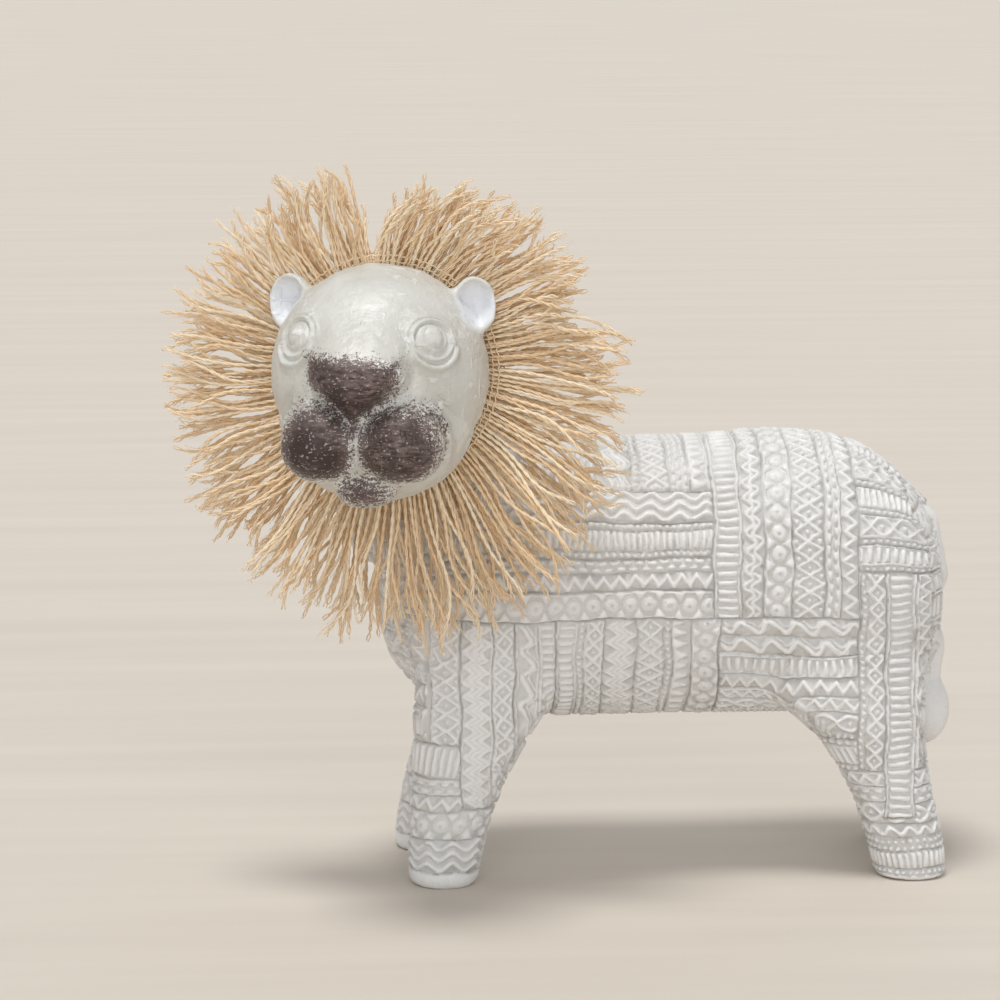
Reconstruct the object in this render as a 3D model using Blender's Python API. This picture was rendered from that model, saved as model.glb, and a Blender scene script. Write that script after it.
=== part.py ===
"""A cast resin lion with a jute fringe mane, at its real size.

Metres, +Z up. The lion stands along X with its chest to -X, and its head is turned to look
along -Y. The origin is under the middle of the whole object, on the surface it stands on.
The casting is one solid: trunk, legs, tail, neck and head, with the boldest of its carved
bands. The mane is a second solid, a ring of fused jute locks in a channel behind the head.
"""

import math
import random

import bmesh
import bpy
from mathutils import Matrix, Vector
from mathutils.bvhtree import BVHTree

# Driving dimensions of the casting
BODY_LENGTH = 0.228
FOOT_SPACING = 0.060
HEAD_TURN = math.radians(14.4)
CARVING_HEIGHT = 0.0013
CARVING_WIDTH = 0.0020

# Driving dimensions of the mane and its channel
NECK_RADIUS = 0.033
RING_DEPTH = 0.009
RING_THICKNESS = 0.006
CLEARANCE = 0.0003
MANE_REACH = 0.096
LOCK_COUNT = 54

# The figure's own proportions are shares of its length: one unit is a 228th of it
UNIT = BODY_LENGTH / 228
VOXEL = 2.4 * UNIT
SKIN_TRIANGLES = 3000
SUNK = 1.5 * CARVING_HEIGHT

HEAD_CENTRE = Vector((-105, -80, 217)) * UNIT
FACING = Vector((-math.sin(HEAD_TURN), -math.cos(HEAD_TURN), 0))
SIDEWAYS = Vector((math.cos(HEAD_TURN), -math.sin(HEAD_TURN), 0))
UPWARD = Vector((0, 0, 1))
SEAT_BEHIND = 12 * UNIT

RESIN_WHITE = (0.80, 0.79, 0.76, 1)
JUTE = (0.58, 0.42, 0.25, 1)


def in_head(forward, side, up):
    """A point given in units from the middle of the head, along the way that it faces."""
    return HEAD_CENTRE + (FACING * forward + SIDEWAYS * side + UPWARD * up) * UNIT


def material(name, colour, roughness):
    made = bpy.data.materials.new(name)
    made.use_nodes = True
    shader = made.node_tree.nodes["Principled BSDF"]
    shader.inputs["Base Color"].default_value = colour
    shader.inputs["Roughness"].default_value = roughness
    shader.inputs["Metallic"].default_value = 0.0
    return made


def object_of(name, bm, surface=None):
    mesh = bpy.data.meshes.new(name)
    bmesh.ops.recalc_face_normals(bm, faces=bm.faces)
    bm.to_mesh(mesh)
    bm.free()
    if surface:
        mesh.materials.append(surface)
    made = bpy.data.objects.new(name, mesh)
    bpy.context.scene.collection.objects.link(made)
    return made


def squircle(centre, across, along, power=2.0, count=28):
    """Points round a closed outline with half-axes across and along, squarer as power grows."""
    points = []
    for step in range(count):
        angle = 2 * math.pi * step / count
        c, s = math.cos(angle), math.sin(angle)
        reach_c = math.copysign(abs(c) ** (2 / power), c)
        reach_s = math.copysign(abs(s) ** (2 / power), s)
        points.append(centre + across * reach_c + along * reach_s)
    return points


def add_loft(bm, rings):
    loops = [[bm.verts.new(point) for point in ring] for ring in rings]
    for near, far in zip(loops, loops[1:]):
        for i in range(len(near)):
            j = (i + 1) % len(near)
            bm.faces.new((near[i], near[j], far[j], far[i]))
    bm.faces.new(reversed(loops[0]))
    bm.faces.new(loops[-1])


def add_ellipsoid(bm, centre, axes, radii):
    scale = Matrix.Diagonal([*radii, 1])
    turn = Matrix([[axis[i] for axis in axes] + [0] for i in range(3)] + [[0, 0, 0, 1]])
    placed = Matrix.Translation(centre) @ turn @ scale
    bmesh.ops.create_uvsphere(bm, u_segments=28, v_segments=16, radius=1, matrix=placed)


def add_head_ball(bm, place, radii, axes=(FACING, SIDEWAYS, UPWARD)):
    """An ellipsoid placed in the head: forward, side and up, with its radii the same way."""
    add_ellipsoid(bm, in_head(*place), axes, [radius * UNIT for radius in radii])


def add_tube(bm, path, radii):
    rings = []
    for i, point in enumerate(path):
        ahead = path[min(i + 1, len(path) - 1)] - path[max(i - 1, 0)]
        across = ahead.cross(UPWARD).normalized()
        if across.length < 0.5:
            across = Vector((0, 1, 0))
        along = across.cross(ahead).normalized()
        rings.append(squircle(point, across * radii[i], along * radii[i]))
    add_loft(bm, rings)


def add_trunk(bm):
    """Sections from chest to rump: distance, low and high edge, half width, in units."""
    sections = (
        (-102, 102, 134, 16), (-99, 90, 152, 29), (-91, 79, 165, 38), (-79, 71, 173, 43.5),
        (-58, 65, 178.5, 46), (-30, 64, 179.5, 45.5), (0, 64, 178.5, 44), (28, 64, 179, 44),
        (60, 64, 181, 46), (80, 64, 179.5, 46.5), (97, 66, 174, 45.5), (110, 70, 164.5, 43),
        (120, 78, 151.5, 37), (126.5, 90, 138, 27), (128.5, 104, 124, 13),
    )
    rings = []
    for x, low, high, half in sections:
        centre = Vector((x, 0, (low + high) / 2)) * UNIT
        across = Vector((0, half * UNIT, 0))
        along = Vector((0, 0, (high - low) / 2 * UNIT))
        rings.append(squircle(centre, across, along, power=2.35))
    add_loft(bm, rings)


# Height, front edge, rear edge and half width of a leg, in units
FRONT_LEG = (
    (-14, -91.5, -65, 14.5), (0, -91.5, -65, 14.5), (8, -92.5, -63.5, 15), (17, -92.5, -61.5, 15),
    (30, -92, -58, 15), (45, -90.5, -52, 15.5), (58, -90, -45, 16),
    (72, -90.5, -36, 16), (92, -88, -32, 15), (112, -84, -36, 12),
)
HIND_LEG = (
    (-14, 102, 130, 14.5), (0, 100.5, 129, 14.5), (9, 98.5, 128.5, 15), (18, 96, 127, 15),
    (32, 91.5, 123.5, 15), (45, 85, 121, 15.5), (58, 76.5, 119.5, 16), (66, 68, 119.5, 16.5),
    (76, 56, 120, 16), (98, 50, 118, 14.5), (118, 56, 112, 11),
)
KNEE = 52


def add_leg(bm, sections, side, foot_step, knee_step):
    """One leg, on side -1 or 1, with its foot and knee each moved a step along X."""
    rings = []
    for height, front, rear, half in sections:
        middle = side * (FOOT_SPACING / 2 + 0.5 * UNIT)
        part = min(1, max(0, height / KNEE))
        stepped = foot_step + (knee_step - foot_step) * part
        centre = Vector(((front + rear) / 2 + stepped, 0, height)) * UNIT
        centre.y = middle
        across = Vector(((rear - front) / 2 * UNIT, 0, 0))
        along = Vector((0, half * UNIT, 0))
        rings.append(squircle(centre, across, along, power=2.2))
    add_loft(bm, rings)


def add_tail(bm):
    spots = ((112, 0, 154), (123, 0, 136), (126, 0, 112), (124, 0, 88), (122, 0, 68))
    add_tube(bm, [Vector(spot) * UNIT for spot in spots], [6.2 * UNIT] * len(spots))
    axes = (Vector((1, 0, 0)), Vector((0, 1, 0)), UPWARD)
    radii = [radius * UNIT for radius in (12.5, 12.5, 16)]
    add_ellipsoid(bm, Vector((123.5, 0, 63)) * UNIT, axes, radii)


def add_neck(bm):
    """From the head back along its own axis, then round into the trunk."""
    path = [
        in_head(-4, 0, 0), in_head(-16, 0, 0), in_head(-26, 0, -1),
        Vector((-97, -38, 205)) * UNIT, Vector((-88, -18, 181)) * UNIT, Vector((-76, -4, 150)) * UNIT,
    ]
    add_tube(bm, path, [radius * UNIT for radius in (38, 38.5, 38.5, 39.5, 41, 41)])


def add_nose(bm):
    """Nose and bridge in level sections: height, half width and how far the front stands out."""
    root = 28
    sections = (
        (-13, 2.5, 47), (-9, 5, 51), (-6, 8.5, 53), (-3, 13, 54.5), (0, 17.5, 55), (3, 20.5, 55),
        (8, 21, 53.5), (12, 20, 49.5), (17, 19, 44.5), (23, 17, 38.5), (29, 13, 33), (34, 8, 29),
    )
    rings = []
    for up, half, front in sections:
        across = SIDEWAYS * half * UNIT
        along = FACING * (front - root) * UNIT
        rings.append(squircle(in_head(root, 0, up), across, along, power=2.6))
    add_loft(bm, rings)


def add_head(bm):
    add_head_ball(bm, (0, 0, 0), (42.5, 42.5, 42.5))
    add_head_ball(bm, (8, 0, -17), (34, 38, 32))
    add_head_ball(bm, (22, 0, -18), (22, 31, 21))
    add_head_ball(bm, (32, 0, -39.5), (13, 12.5, 8.5))
    add_nose(bm)
    for side in (-1, 1):
        add_head_ball(bm, (38, side * 16.3, -23), (17, 16.6, 15.6))


def add_ear(bm, side):
    """A cupped ear: a turned profile, wide at its rim, with its hollow to the front."""
    facing = (FACING * 0.92 + SIDEWAYS * side * 0.34 + UPWARD * 0.12).normalized()
    across = facing.cross(UPWARD).normalized()
    upright = across.cross(facing)
    place = in_head(-4, side * 36, 26.5)
    profile = ((-9, 0.35), (-6, 0.75), (0, 1.0), (3.4, 1.0), (4.2, 0.9), (2.2, 0.76), (-1.5, 0.5), (-3, 0.2))
    rings = []
    for depth, share in profile:
        centre = place + facing * depth * UNIT
        rings.append(squircle(centre, across * 9 * share * UNIT, upright * 11.5 * share * UNIT, count=20))
    add_loft(bm, rings)


def evaluated_copy(obj, name):
    """Replaces obj by a plain mesh of what its modifiers make."""
    graph = bpy.context.evaluated_depsgraph_get()
    mesh = bpy.data.meshes.new_from_object(obj.evaluated_get(graph))
    surface = obj.data.materials[0] if obj.data.materials else None
    bpy.data.objects.remove(obj)
    mesh.name = name
    if surface and not mesh.materials:
        mesh.materials.append(surface)
    made = bpy.data.objects.new(name, mesh)
    bpy.context.scene.collection.objects.link(made)
    return made


def smooth_skin(name, add_blocks, voxel, rounds):
    """One closed skin round overlapping blocks, with the creases between them eased."""
    bm = bmesh.new()
    add_blocks(bm)
    blocks = object_of(name, bm)
    remesh = blocks.modifiers.new("Skin", "REMESH")
    remesh.mode = "VOXEL"
    remesh.voxel_size = voxel
    ease = blocks.modifiers.new("Ease", "SMOOTH")
    ease.factor = 0.5
    ease.iterations = rounds
    return evaluated_copy(blocks, name)


def add_body_blocks(bm):
    add_trunk(bm)
    add_leg(bm, FRONT_LEG, -1, 0, 0)
    add_leg(bm, HIND_LEG, -1, 0, 0)
    add_leg(bm, FRONT_LEG, 1, -4, 4)
    add_leg(bm, HIND_LEG, 1, 7, 4)
    add_neck(bm)
    add_tail(bm)


def add_head_blocks(bm):
    add_head(bm)
    for side in (-1, 1):
        add_ear(bm, side)


def boolean(obj, other, operation):
    cut = obj.modifiers.new(operation.title(), "BOOLEAN")
    cut.object = other
    cut.operation = operation
    cut.solver = "EXACT"
    other.hide_render = True
    other.display_type = "WIRE"
    return cut


def turned_ring(name, inner, outer, start, depth, count):
    """A ring round the head's axis, from start behind the middle of the head backwards."""
    bm = bmesh.new()
    loops = []
    for radius, behind in ((inner, start), (outer, start), (outer, start + depth), (inner, start + depth)):
        centre = HEAD_CENTRE - FACING * behind
        loops.append([bm.verts.new(p) for p in squircle(centre, SIDEWAYS * radius, UPWARD * radius, count=count)])
    for near, far in zip(loops, loops[1:] + loops[:1]):
        for i in range(count):
            j = (i + 1) % count
            bm.faces.new((near[i], near[j], far[j], far[i]))
    return object_of(name, bm)


def slab_below_ground():
    bm = bmesh.new()
    bmesh.ops.create_cube(bm, size=1)
    bmesh.ops.scale(bm, vec=(BODY_LENGTH * 2, BODY_LENGTH, BODY_LENGTH / 4), verts=bm.verts)
    bmesh.ops.translate(bm, vec=(0, 0, -BODY_LENGTH / 8), verts=bm.verts)
    return object_of("below_ground", bm)


def add_eyes(bm):
    """Each eye is a low dome in a thick raised rim."""
    for side in (-1, 1):
        outward = Vector((28.5, side * 25.7, 15)).normalized()
        facing = FACING * outward.x + SIDEWAYS * outward.y + UPWARD * outward.z
        across = facing.cross(UPWARD).normalized()
        upright = across.cross(facing)
        place = HEAD_CENTRE + facing * 41.2 * UNIT
        rim = ((-2.5, 1.12), (1.0, 1.06), (2.4, 0.94), (1.6, 0.78), (1.0, 0.74), (2.4, 0.45), (2.7, 0.2))
        rings = []
        for depth, share in rim:
            centre = place + facing * depth * UNIT
            rings.append(squircle(centre, across * 9 * share * UNIT, upright * 8.6 * share * UNIT, count=14))
        add_loft(bm, rings)


def zigzag(low, high, begin, end, turns):
    """Points that swing between low and high while they run from begin to end."""
    return [(begin + (end - begin) * i / turns, high if i % 2 else low) for i in range(turns + 1)]


def standing(points):
    """The same line with its run upright."""
    return [(across, along) for along, across in points]


def rail(at, begin, end, steps):
    return [(begin + (end - begin) * i / steps, at) for i in range(steps + 1)]


def rungs(low, high, begin, end, count):
    gap = (end - begin) / count
    return [[(begin + gap * (i + 0.5), low), (begin + gap * (i + 0.5), high)] for i in range(count)]


def ladder(low, high, begin, end, count, steps):
    step_in = 0.2 * (high - low)
    sides = [rail(low, begin, end, steps), rail(high, begin, end, steps)]
    return sides + rungs(low + step_in, high - step_in, begin, end, count)


def plain_lines():
    """The bands both flanks carry, as lines of (x, height) in units."""
    lines = [standing(line) for line in ladder(30.5, 40.5, 112, 172, 9, 3)]
    lines += [rail(86, 46, 91, 4), rail(94, 34, 91, 5)]
    lines += [standing(rail(101.5, 46, 126, 4)), standing(rail(113, 46, 126, 4))]
    lines += [rail(111, -46, 28, 2), rail(122.5, -46, 28, 2)]
    lines.append(zigzag(113.8, 119.7, -45, 27, 14))
    lines.append(standing(rail(50, 112, 170, 3)))
    lines.append(standing(rail(75, 112, 170, 3)))
    lines.append(standing(zigzag(64, 72, 114, 168, 10)))
    lines.append(standing(zigzag(-71, -61, 36, 92, 10)))
    return lines


def fine_lines():
    """The further bands of the flank that is seen first."""
    lines = rungs(89, 92, 56, 91, 6)
    lines += [standing(line) for line in rungs(103.8, 110.7, 46, 126, 11)]
    lines += [rail(146, -24, 28, 1), rail(138, -24, 28, 1)]
    lines.append(zigzag(152, 158, -24, 27, 10))
    lines.append(standing(zigzag(53, 60, 114, 168, 8)))
    lines.append(zigzag(98, 106, 34, 92, 9))
    lines.append(zigzag(71, 79, 62, 96, 6))
    for at in (-31, -24, -3, 11, 21):
        lines.append(standing(rail(at, 78, 108, 2)))
    lines.append(standing(zigzag(0, 8, 76, 108, 7)))
    lines.append(standing(zigzag(-21, -6, 76, 108, 5)))
    for at, begin, end in ((58, 81, 98), (46, 87, 99), (33, 95, 120), (18, 99, 124)):
        lines.append(rail(at, begin, end, 2))
    for at in (21, 33):
        lines.append(rail(at, -88, -62, 2))
    lines.append(zigzag(23.8, 30.2, -87, -63, 6))
    return lines


def add_bar(bm, points, normals):
    """A raised ridge along points on the skin, its foot sunk in the skin."""
    rings = []
    for i, (point, normal) in enumerate(zip(points, normals)):
        ahead = (points[min(i + 1, len(points) - 1)] - points[max(i - 1, 0)]).normalized()
        across = ahead.cross(normal).normalized() * CARVING_WIDTH / 2
        top, foot = point + normal * CARVING_HEIGHT, point - normal * SUNK
        rings.append([foot - across, foot + across, top])
    add_loft(bm, rings)


def carved_bars(skin):
    """The carved lines laid on both flanks of the skin, found from the side along Y."""
    graph = bpy.context.evaluated_depsgraph_get()
    tree = BVHTree.FromObject(skin, graph)
    bm = bmesh.new()
    for side, lines in ((-1, plain_lines() + fine_lines()), (1, plain_lines())):
        for line in lines:
            points, normals = [], []
            for x, z in line:
                start = Vector((x * UNIT, side * BODY_LENGTH, z * UNIT))
                point, normal, _, _ = tree.ray_cast(start, Vector((0, -side, 0)))
                if point is not None:
                    points.append(point)
                    normals.append(normal)
            if len(points) > 1:
                add_bar(bm, points, normals)
    return object_of("carving", bm)


def make_casting(surface):
    body = smooth_skin("body_skin", add_body_blocks, VOXEL, 10)
    head = smooth_skin("head_skin", add_head_blocks, VOXEL / 2, 4)
    joined = bmesh.new()
    joined.from_mesh(body.data)
    joined.from_mesh(head.data)
    for spent in (body, head):
        bpy.data.objects.remove(spent)
    both = object_of("both_skins", joined)
    merge = both.modifiers.new("Skin", "REMESH")
    merge.mode = "VOXEL"
    merge.voxel_size = VOXEL * 0.62
    ease = both.modifiers.new("Ease", "SMOOTH")
    ease.factor = 0.5
    ease.iterations = 1
    skin = evaluated_copy(both, "resin_lion")
    fewer = skin.modifiers.new("Fewer", "DECIMATE")
    triangles = sum(len(face.vertices) - 2 for face in skin.data.polygons)
    fewer.ratio = SKIN_TRIANGLES / triangles
    skin = evaluated_copy(skin, "resin_lion")
    skin.data.materials.append(surface)

    eyes = bmesh.new()
    add_eyes(eyes)
    boolean(skin, object_of("eyes", eyes), "UNION")
    boolean(skin, carved_bars(skin), "UNION")
    channel = turned_ring("channel", NECK_RADIUS, 2 * NECK_RADIUS, SEAT_BEHIND, RING_DEPTH + 2 * CLEARANCE, 48)
    boolean(skin, channel, "DIFFERENCE")
    boolean(skin, slab_below_ground(), "DIFFERENCE")
    return skin


def mane_reach(heading):
    """How far the locks reach on a heading, following the uneven outline of the fringe."""
    shares = (0.75, 0.85, 0.95, 1.0, 1.04, 1.1, 1.17, 1.13, 1.06, 1.01, 0.94, 0.9)
    turn = math.atan2(heading.dot(SIDEWAYS), heading.z) / (2 * math.pi) % 1 * len(shares)
    before = int(turn) % len(shares)
    after = (before + 1) % len(shares)
    part = turn - int(turn)
    return MANE_REACH * (shares[before] * (1 - part) + shares[after] * part)


def make_mane(surface):
    """A ring in the channel whose outer wall is drawn out into tapering locks."""
    chance = random.Random(7)
    inner = NECK_RADIUS + CLEARANCE
    outer = inner + RING_THICKNESS
    ring = turned_ring("jute_mane", inner, outer, SEAT_BEHIND + CLEARANCE, RING_DEPTH, LOCK_COUNT)
    bm = bmesh.new()
    bm.from_mesh(ring.data)
    middle = HEAD_CENTRE - FACING * (SEAT_BEHIND + CLEARANCE + RING_DEPTH / 2)

    def radial(point):
        flat = point - middle
        flat -= FACING * flat.dot(FACING)
        return flat.normalized()

    bm.normal_update()
    walls = [face for face in bm.faces if face.normal.dot(radial(face.calc_center_median())) > 0.9]
    bmesh.ops.inset_individual(bm, faces=walls, thickness=CLEARANCE)
    lock_steps = ((0.25, 0.96, 0.85), (0.65, 0.9, 0.7), (1.0, 0.55, 0.35))
    for number, face in enumerate(walls):
        heading = radial(face.calc_center_median())
        tangent = heading.cross(FACING).normalized()
        length = mane_reach(heading) * chance.uniform(0.92, 1.07) - outer
        lean = (0.06 if number % 2 else -0.14) * length
        for share, wide_share, deep_share in lock_steps:
            face = bmesh.ops.extrude_discrete_faces(bm, faces=[face])["faces"][0]
            start = face.calc_center_median()
            target = middle + heading * (outer + length * share) + FACING * lean * share ** 1.5
            wide = (outer + length * share) * 2 * math.pi / LOCK_COUNT * wide_share
            for vert in face.verts:
                offset = vert.co - start
                side = 1 if offset.dot(tangent) > 0 else -1
                front = 1 if offset.dot(FACING) > 0 else -1
                across = tangent * side * wide / 2
                vert.co = target + across + FACING * front * RING_DEPTH * deep_share / 2
    bmesh.ops.recalc_face_normals(bm, faces=bm.faces)
    bm.to_mesh(ring.data)
    bm.free()
    ring.data.materials.append(surface)
    return ring


def stand_on_origin(objects):
    """Moves the object so that the middle of its footprint is at the origin."""
    bpy.context.view_layer.update()
    graph = bpy.context.evaluated_depsgraph_get()
    corners = [obj.evaluated_get(graph).matrix_world @ Vector(corner)
               for obj in objects for corner in obj.evaluated_get(graph).bound_box]
    low = Vector(map(min, *corners))
    high = Vector(map(max, *corners))
    shift = Vector(((low.x + high.x) / -2, (low.y + high.y) / -2, 0))
    for obj in bpy.context.scene.objects:
        obj.location += shift


def main():
    for old in list(bpy.data.objects):
        bpy.data.objects.remove(old)
    lion = make_casting(material("white_resin", RESIN_WHITE, 0.55))
    mane = make_mane(material("jute", JUTE, 0.9))
    stand_on_origin([lion, mane])


main()
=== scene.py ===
"""The cast resin lion with its jute mane, dressed for its picture.

The casting is one skin built from the same blocks as the solid, then carved with its bands,
eyes and nose. The mane is some hundreds of twisted jute strands in a channel behind the head.
Sizes are in units of one 228th of the body's length, which is a millimetre at this size.
"""

import math

import bmesh
import bpy
import numpy as np
from mathutils import Matrix, Vector


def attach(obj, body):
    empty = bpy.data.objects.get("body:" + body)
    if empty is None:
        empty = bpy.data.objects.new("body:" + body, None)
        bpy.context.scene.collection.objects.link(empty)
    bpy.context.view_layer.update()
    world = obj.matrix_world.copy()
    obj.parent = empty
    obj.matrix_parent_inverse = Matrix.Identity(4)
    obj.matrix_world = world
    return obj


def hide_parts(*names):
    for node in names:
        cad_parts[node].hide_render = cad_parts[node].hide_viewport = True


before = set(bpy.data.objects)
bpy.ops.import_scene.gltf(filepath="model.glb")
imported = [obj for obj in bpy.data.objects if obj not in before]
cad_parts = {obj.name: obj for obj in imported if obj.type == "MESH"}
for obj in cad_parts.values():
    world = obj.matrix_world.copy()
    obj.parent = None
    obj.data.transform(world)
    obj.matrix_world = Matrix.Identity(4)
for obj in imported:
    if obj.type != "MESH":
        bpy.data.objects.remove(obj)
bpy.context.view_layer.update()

UNIT = 0.001
# The middle of the body, on the ground, in the frame
MIDDLE = Vector((0.03276, 0.04496, 0))

# The head: where it is and which way it looks
HEAD_TURN = math.radians(14.4)
HEAD_CENTRE = Vector((-105, -80, 217))
FACING = Vector((-math.sin(HEAD_TURN), -math.cos(HEAD_TURN), 0))
SIDEWAYS = Vector((math.cos(HEAD_TURN), -math.sin(HEAD_TURN), 0))
UPWARD = Vector((0, 0, 1))
# The same as arrays, for many points at a time
HEAD_AT, AHEAD, ACROSS, UP = (
    np.array(row) for row in (HEAD_CENTRE, FACING, SIDEWAYS, UPWARD))
FOOT_SPACING = 60
KNEE = 52

# The channel that holds the mane
NECK_RADIUS = 33
SEAT_BEHIND = 12
CHANNEL_DEPTH = 9.6

# How fine the casting's skin is: voxels of the blocks and of the skin, rounds of smoothing of
# the body, the head and the skin, and the triangles that are kept
BLOCK_VOXEL = 2.4
SKIN_VOXEL = 0.92
BODY_ROUNDS, HEAD_ROUNDS, SKIN_ROUNDS = 10, 6, 3
SKIN_TRIANGLES = 196000
# How high the carved lines stand, how deep the grooves between the bands are, how far the ground
# between the lines lies below the block, and the share of all that on the hidden side
RELIEF = 1.3
GROOVE_DEPTH = 0.7
SUNK = 0.5
PLAIN_SIDE = 0.5
# How much the soles are rounded
SOLE_ROUND = 3.5


def in_head(forward, side, up):
    return HEAD_CENTRE + FACING * forward + SIDEWAYS * side + UPWARD * up


def object_of(name, bm):
    mesh = bpy.data.meshes.new(name)
    bmesh.ops.recalc_face_normals(bm, faces=bm.faces)
    bm.to_mesh(mesh)
    bm.free()
    made = bpy.data.objects.new(name, mesh)
    bpy.context.scene.collection.objects.link(made)
    return made


# The blocks under the skin

def squircle(centre, across, along, power=2.0, count=28):
    """Points round a closed outline with half-axes across and along, squarer as power grows."""
    points = []
    for step in range(count):
        angle = 2 * math.pi * step / count
        c, s = math.cos(angle), math.sin(angle)
        reach_c = math.copysign(abs(c) ** (2 / power), c)
        reach_s = math.copysign(abs(s) ** (2 / power), s)
        points.append(centre + across * reach_c + along * reach_s)
    return points


def add_loft(bm, rings):
    loops = [[bm.verts.new(point * UNIT) for point in ring] for ring in rings]
    for near, far in zip(loops, loops[1:]):
        for i in range(len(near)):
            j = (i + 1) % len(near)
            bm.faces.new((near[i], near[j], far[j], far[i]))
    bm.faces.new(reversed(loops[0]))
    bm.faces.new(loops[-1])


def add_ellipsoid(bm, centre, axes, radii):
    scale = Matrix.Diagonal([*(radius * UNIT for radius in radii), 1])
    turn = Matrix([[axis[i] for axis in axes] + [0] for i in range(3)] + [[0, 0, 0, 1]])
    placed = Matrix.Translation(centre * UNIT) @ turn @ scale
    bmesh.ops.create_uvsphere(bm, u_segments=40, v_segments=24, radius=1, matrix=placed)


def add_head_ball(bm, place, radii):
    add_ellipsoid(bm, in_head(*place), (FACING, SIDEWAYS, UPWARD), radii)


def add_tube(bm, path, radii):
    rings = []
    for i, point in enumerate(path):
        ahead = path[min(i + 1, len(path) - 1)] - path[max(i - 1, 0)]
        across = ahead.cross(UPWARD).normalized()
        if across.length < 0.5:
            across = Vector((0, 1, 0))
        along = across.cross(ahead).normalized()
        rings.append(squircle(point, across * radii[i], along * radii[i]))
    add_loft(bm, rings)


# Sections of the trunk: distance from the middle, low and high edge, half width
TRUNK = (
    (-102, 102, 134, 16), (-99, 90, 152, 29), (-91, 79, 165, 38), (-79, 71, 173, 43.5),
    (-58, 65, 178.5, 46), (-30, 64, 179.5, 45.5), (0, 64, 178.5, 44), (28, 64, 179, 44),
    (60, 64, 181, 46), (80, 64, 179.5, 46.5), (97, 66, 174, 45.5), (110, 70, 164.5, 43),
    (120, 78, 151.5, 37), (126.5, 90, 138, 27), (128.5, 104, 124, 13),
)
# Its usual section: middle height, half height, half width and how square it is
SECTION_MIDDLE, SECTION_HALF, SECTION_WIDE, SECTION_POWER = 121.5, 57.5, 45.0, 2.35
# Height, front edge, rear edge and half width of a leg, and how square it is
LEG_POWER = 2.2
FRONT_LEG = (
    (-14, -91.5, -65, 14.5), (0, -91.5, -65, 14.5), (8, -92.5, -63.5, 15), (17, -92.5, -61.5, 15),
    (30, -92, -58, 15), (45, -90.5, -52, 15.5), (58, -90, -45, 16),
    (72, -90.5, -36, 16), (92, -88, -32, 15), (112, -84, -36, 12),
)
HIND_LEG = (
    (-14, 102, 130, 14.5), (0, 100.5, 129, 14.5), (9, 98.5, 128.5, 15), (18, 96, 127, 15),
    (32, 91.5, 123.5, 15), (45, 85, 121, 15.5), (58, 76.5, 119.5, 16), (66, 68, 119.5, 16.5),
    (76, 56, 120, 16), (98, 50, 118, 14.5), (118, 56, 112, 11),
)
# Which leg, which side, and how far its foot and its knee step along X
LEGS = ((FRONT_LEG, -1, 0, 0), (HIND_LEG, -1, 0, 0), (FRONT_LEG, 1, -4, 4), (HIND_LEG, 1, 7, 4))
# How far the middle of a leg is from the middle of the body
LEG_MIDDLE = FOOT_SPACING / 2 + 0.5
# Height, half width and front of the nose and its bridge, and how square and deep-set they are
NOSE = (
    (-13, 2.5, 47), (-9, 5, 51), (-6, 8.5, 53), (-3, 13, 54.5), (0, 17.5, 55), (3, 20.5, 55),
    (8, 21, 53.5), (12, 20, 49.5), (17, 18.5, 44), (22, 16, 38.5), (26, 13, 34), (29, 9, 30),
)
NOSE_POWER = 2.6
NOSE_ROOT = 28
# The tail and the middle and radii of its tuft
TAIL = ((112, 0, 154), (124, 0, 143), (129.3, 0, 118), (128.5, 0, 92), (124, 0, 68))
TAIL_RADIUS = 5.9
TUFT, TUFT_RADII = (123.5, 0, 63), (12.5, 12.5, 16)
# The foot of the neck, and the neck's radii from the head down to there
NECK_FOOT = (-76, -4, 150)
NECK_RADII = (38, 38.5, 38.5, 39.5, 41, 41)
# Skull, cheeks, muzzle and chin, as places ahead, across and up in the head and their radii
HEAD_BALLS = (
    ((0, 0, 0), (42.5, 42.5, 42.5)), ((8, 0, -17), (34, 38, 32)),
    ((22, 0, -18), (22, 31, 21)), ((32, 1.5, -39.5), (13, 12.5, 8.5)),
)
# The two round lobes of the muzzle, a little to one side as in the casting, and what fills
# the dip between them
LOBES = (-14.8, 16.9)
LOBE_BALLS = tuple(((38, across, -22.5), (17, 15.9, 15.4)) for across in LOBES)
DIP_BALL = ((36, 1, -22.5), (15.5, 11, 13.5))
# An ear's half width and half height, and its depth and share of its size from back to hollow
EAR_WIDE, EAR_HIGH = 9, 11.5
EAR_PROFILE = (
    (-9, 0.35), (-6, 0.75), (0, 1.0), (3.4, 1.0), (4.4, 0.93),
    (3.0, 0.82), (0.2, 0.68), (-1.6, 0.45), (-2.2, 0.2),
)
# The fold down a cheek: how far below the head's middle, and how far out to the side
CREASE = ((0, 7, 15, 22, 30, 38), (24.5, 29, 34, 35, 34, 31))


def add_trunk(bm):
    rings = []
    for x, low, high, half in TRUNK:
        centre = Vector((x, 0, (low + high) / 2))
        upright = Vector((0, 0, (high - low) / 2))
        rings.append(squircle(centre, Vector((0, half, 0)), upright, SECTION_POWER))
    add_loft(bm, rings)


def add_leg(bm, sections, side, foot_step, knee_step):
    rings = []
    for height, front, rear, half in sections:
        part = min(1, max(0, height / KNEE))
        stepped = foot_step + (knee_step - foot_step) * part
        centre = Vector(((front + rear) / 2 + stepped, side * LEG_MIDDLE, height))
        across = Vector(((rear - front) / 2, 0, 0))
        rings.append(squircle(centre, across, Vector((0, half, 0)), LEG_POWER))
    add_loft(bm, rings)


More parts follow.
